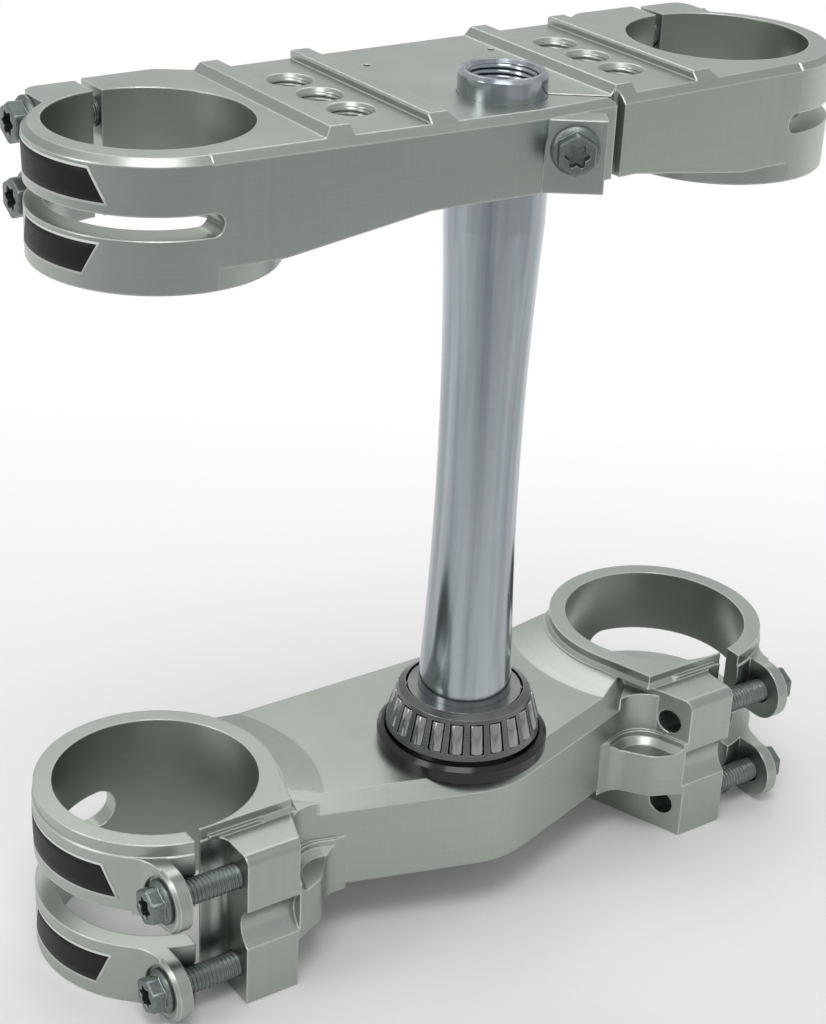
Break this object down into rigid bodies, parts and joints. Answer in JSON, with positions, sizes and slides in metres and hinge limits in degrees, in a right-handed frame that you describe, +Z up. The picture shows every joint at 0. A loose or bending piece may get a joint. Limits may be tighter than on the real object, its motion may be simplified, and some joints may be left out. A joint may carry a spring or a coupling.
{
  "type": "motorcycle triple clamp",
  "caption": "Pair of machined fork clamps on a hollow steering stem, with split fork bores, pinch screws, a handlebar mount pad and a tapered roller bearing above the lower clamp.",
  "frame": {"origin": "centre of the steering stem's lower end, level with the underside of the lower clamp's arm", "axes": "+Z up along the steering stem towards the upper clamp, +Y to the front of the motorcycle, +X to the rider's right hand fork leg"},
  "size_m": [0.2604, 0.0912, 0.2568],
  "materials": {
    "clamp_metal": "satin blasted and anodised, with bright machined edges",
    "stem_metal": "ground and polished",
    "seal": "glossy black",
    "bearing_steel": "dark oiled bearing steel",
    "screw": "dull zinc plated"
  },
  "bodies": {
    "clamp": {"upper_clamp": "clamp_metal", "lower_clamp": "clamp_metal", "steering_stem": "stem_metal", "bearing_seal": "seal", "bearing_inner_race": "bearing_steel", "lower_left_pinch_screw_bottom": "screw", "lower_left_pinch_screw_top": "screw", "lower_right_pinch_screw_bottom": "screw", "lower_right_pinch_screw_top": "screw", "upper_left_pinch_screw_bottom": "screw", "upper_left_pinch_screw_top": "screw", "upper_right_pinch_screw_bottom": "screw", "upper_right_pinch_screw_top": "screw", "stem_pinch_screw": "screw"},
    "cage": {"bearing_cage": "bearing_steel"},
    "bearing_roller_01": {"bearing_roller_01": "bearing_steel"},
    "bearing_roller_02": {"bearing_roller_02": "bearing_steel"},
    "bearing_roller_03": {"bearing_roller_03": "bearing_steel"},
    "bearing_roller_04": {"bearing_roller_04": "bearing_steel"},
    "bearing_roller_05": {"bearing_roller_05": "bearing_steel"},
    "bearing_roller_06": {"bearing_roller_06": "bearing_steel"},
    "bearing_roller_07": {"bearing_roller_07": "bearing_steel"},
    "bearing_roller_08": {"bearing_roller_08": "bearing_steel"},
    "bearing_roller_09": {"bearing_roller_09": "bearing_steel"},
    "bearing_roller_10": {"bearing_roller_10": "bearing_steel"},
    "bearing_roller_11": {"bearing_roller_11": "bearing_steel"},
    "bearing_roller_12": {"bearing_roller_12": "bearing_steel"},
    "bearing_roller_13": {"bearing_roller_13": "bearing_steel"},
    "bearing_roller_14": {"bearing_roller_14": "bearing_steel"},
    "bearing_roller_15": {"bearing_roller_15": "bearing_steel"},
    "bearing_roller_16": {"bearing_roller_16": "bearing_steel"},
    "bearing_roller_17": {"bearing_roller_17": "bearing_steel"},
    "bearing_roller_18": {"bearing_roller_18": "bearing_steel"},
    "bearing_roller_19": {"bearing_roller_19": "bearing_steel"},
    "bearing_roller_20": {"bearing_roller_20": "bearing_steel"},
    "bearing_roller_21": {"bearing_roller_21": "bearing_steel"},
    "bearing_roller_22": {"bearing_roller_22": "bearing_steel"}
  },
  "joints": [
    {"name": "bearing_spin", "type": "hinge", "parent": "clamp", "child": "cage", "pos_m": [0, 0, 0.042], "axis": [0, 0, 1], "continuous": true},
    {"name": "roller_01_spin", "type": "hinge", "parent": "cage", "child": "bearing_roller_01", "pos_m": [0.01991, 0, 0.042], "axis": [-0.2373, 0, 0.9714], "continuous": true},
    {"name": "roller_02_spin", "type": "hinge", "parent": "cage", "child": "bearing_roller_02", "pos_m": [0.01911, 0.00561, 0.042], "axis": [-0.2277, -0.0669, 0.9714], "continuous": true},
    {"name": "roller_03_spin", "type": "hinge", "parent": "cage", "child": "bearing_roller_03", "pos_m": [0.01675, 0.01077, 0.042], "axis": [-0.1997, -0.1283, 0.9714], "continuous": true},
    {"name": "roller_04_spin", "type": "hinge", "parent": "cage", "child": "bearing_roller_04", "pos_m": [0.01304, 0.01505, 0.042], "axis": [-0.1554, -0.1794, 0.9714], "continuous": true},
    {"name": "roller_05_spin", "type": "hinge", "parent": "cage", "child": "bearing_roller_05", "pos_m": [0.00827, 0.01811, 0.042], "axis": [-0.0986, -0.2159, 0.9714], "continuous": true},
    {"name": "roller_06_spin", "type": "hinge", "parent": "cage", "child": "bearing_roller_06", "pos_m": [0.00283, 0.01971, 0.042], "axis": [-0.0338, -0.2349, 0.9714], "continuous": true},
    {"name": "roller_07_spin", "type": "hinge", "parent": "cage", "child": "bearing_roller_07", "pos_m": [-0.00283, 0.01971, 0.042], "axis": [0.0338, -0.2349, 0.9714], "continuous": true},
    {"name": "roller_08_spin", "type": "hinge", "parent": "cage", "child": "bearing_roller_08", "pos_m": [-0.00827, 0.01811, 0.042], "axis": [0.0986, -0.2159, 0.9714], "continuous": true},
    {"name": "roller_09_spin", "type": "hinge", "parent": "cage", "child": "bearing_roller_09", "pos_m": [-0.01304, 0.01505, 0.042], "axis": [0.1554, -0.1794, 0.9714], "continuous": true},
    {"name": "roller_10_spin", "type": "hinge", "parent": "cage", "child": "bearing_roller_10", "pos_m": [-0.01675, 0.01077, 0.042], "axis": [0.1997, -0.1283, 0.9714], "continuous": true},
    {"name": "roller_11_spin", "type": "hinge", "parent": "cage", "child": "bearing_roller_11", "pos_m": [-0.01911, 0.00561, 0.042], "axis": [0.2277, -0.0669, 0.9714], "continuous": true},
    {"name": "roller_12_spin", "type": "hinge", "parent": "cage", "child": "bearing_roller_12", "pos_m": [-0.01991, 0, 0.042], "axis": [0.2373, 0, 0.9714], "continuous": true},
    {"name": "roller_13_spin", "type": "hinge", "parent": "cage", "child": "bearing_roller_13", "pos_m": [-0.01911, -0.00561, 0.042], "axis": [0.2277, 0.0669, 0.9714], "continuous": true},
    {"name": "roller_14_spin", "type": "hinge", "parent": "cage", "child": "bearing_roller_14", "pos_m": [-0.01675, -0.01077, 0.042], "axis": [0.1997, 0.1283, 0.9714], "continuous": true},
    {"name": "roller_15_spin", "type": "hinge", "parent": "cage", "child": "bearing_roller_15", "pos_m": [-0.01304, -0.01505, 0.042], "axis": [0.1554, 0.1794, 0.9714], "continuous": true},
    {"name": "roller_16_spin", "type": "hinge", "parent": "cage", "child": "bearing_roller_16", "pos_m": [-0.00827, -0.01811, 0.042], "axis": [0.0986, 0.2159, 0.9714], "continuous": true},
    {"name": "roller_17_spin", "type": "hinge", "parent": "cage", "child": "bearing_roller_17", "pos_m": [-0.00283, -0.01971, 0.042], "axis": [0.0338, 0.2349, 0.9714], "continuous": true},
    {"name": "roller_18_spin", "type": "hinge", "parent": "cage", "child": "bearing_roller_18", "pos_m": [0.00283, -0.01971, 0.042], "axis": [-0.0338, 0.2349, 0.9714], "continuous": true},
    {"name": "roller_19_spin", "type": "hinge", "parent": "cage", "child": "bearing_roller_19", "pos_m": [0.00827, -0.01811, 0.042], "axis": [-0.0986, 0.2159, 0.9714], "continuous": true},
    {"name": "roller_20_spin", "type": "hinge", "parent": "cage", "child": "bearing_roller_20", "pos_m": [0.01304, -0.01505, 0.042], "axis": [-0.1554, 0.1794, 0.9714], "continuous": true},
    {"name": "roller_21_spin", "type": "hinge", "parent": "cage", "child": "bearing_roller_21", "pos_m": [0.01675, -0.01077, 0.042], "axis": [-0.1997, 0.1283, 0.9714], "continuous": true},
    {"name": "roller_22_spin", "type": "hinge", "parent": "cage", "child": "bearing_roller_22", "pos_m": [0.01911, -0.00561, 0.042], "axis": [-0.2277, 0.0669, 0.9714], "continuous": true}
  ],
  "couplings": [
    {"joint": "roller_01_spin", "follows": "bearing_spin", "ratio": 7.1694},
    {"joint": "roller_02_spin", "follows": "bearing_spin", "ratio": 7.1694},
    {"joint": "roller_03_spin", "follows": "bearing_spin", "ratio": 7.1694},
    {"joint": "roller_04_spin", "follows": "bearing_spin", "ratio": 7.1694},
    {"joint": "roller_05_spin", "follows": "bearing_spin", "ratio": 7.1694},
    {"joint": "roller_06_spin", "follows": "bearing_spin", "ratio": 7.1694},
    {"joint": "roller_07_spin", "follows": "bearing_spin", "ratio": 7.1694},
    {"joint": "roller_08_spin", "follows": "bearing_spin", "ratio": 7.1694},
    {"joint": "roller_09_spin", "follows": "bearing_spin", "ratio": 7.1694},
    {"joint": "roller_10_spin", "follows": "bearing_spin", "ratio": 7.1694},
    {"joint": "roller_11_spin", "follows": "bearing_spin", "ratio": 7.1694},
    {"joint": "roller_12_spin", "follows": "bearing_spin", "ratio": 7.1694},
    {"joint": "roller_13_spin", "follows": "bearing_spin", "ratio": 7.1694},
    {"joint": "roller_14_spin", "follows": "bearing_spin", "ratio": 7.1694},
    {"joint": "roller_15_spin", "follows": "bearing_spin", "ratio": 7.1694},
    {"joint": "roller_16_spin", "follows": "bearing_spin", "ratio": 7.1694},
    {"joint": "roller_17_spin", "follows": "bearing_spin", "ratio": 7.1694},
    {"joint": "roller_18_spin", "follows": "bearing_spin", "ratio": 7.1694},
    {"joint": "roller_19_spin", "follows": "bearing_spin", "ratio": 7.1694},
    {"joint": "roller_20_spin", "follows": "bearing_spin", "ratio": 7.1694},
    {"joint": "roller_21_spin", "follows": "bearing_spin", "ratio": 7.1694},
    {"joint": "roller_22_spin", "follows": "bearing_spin", "ratio": 7.1694}
  ]
}
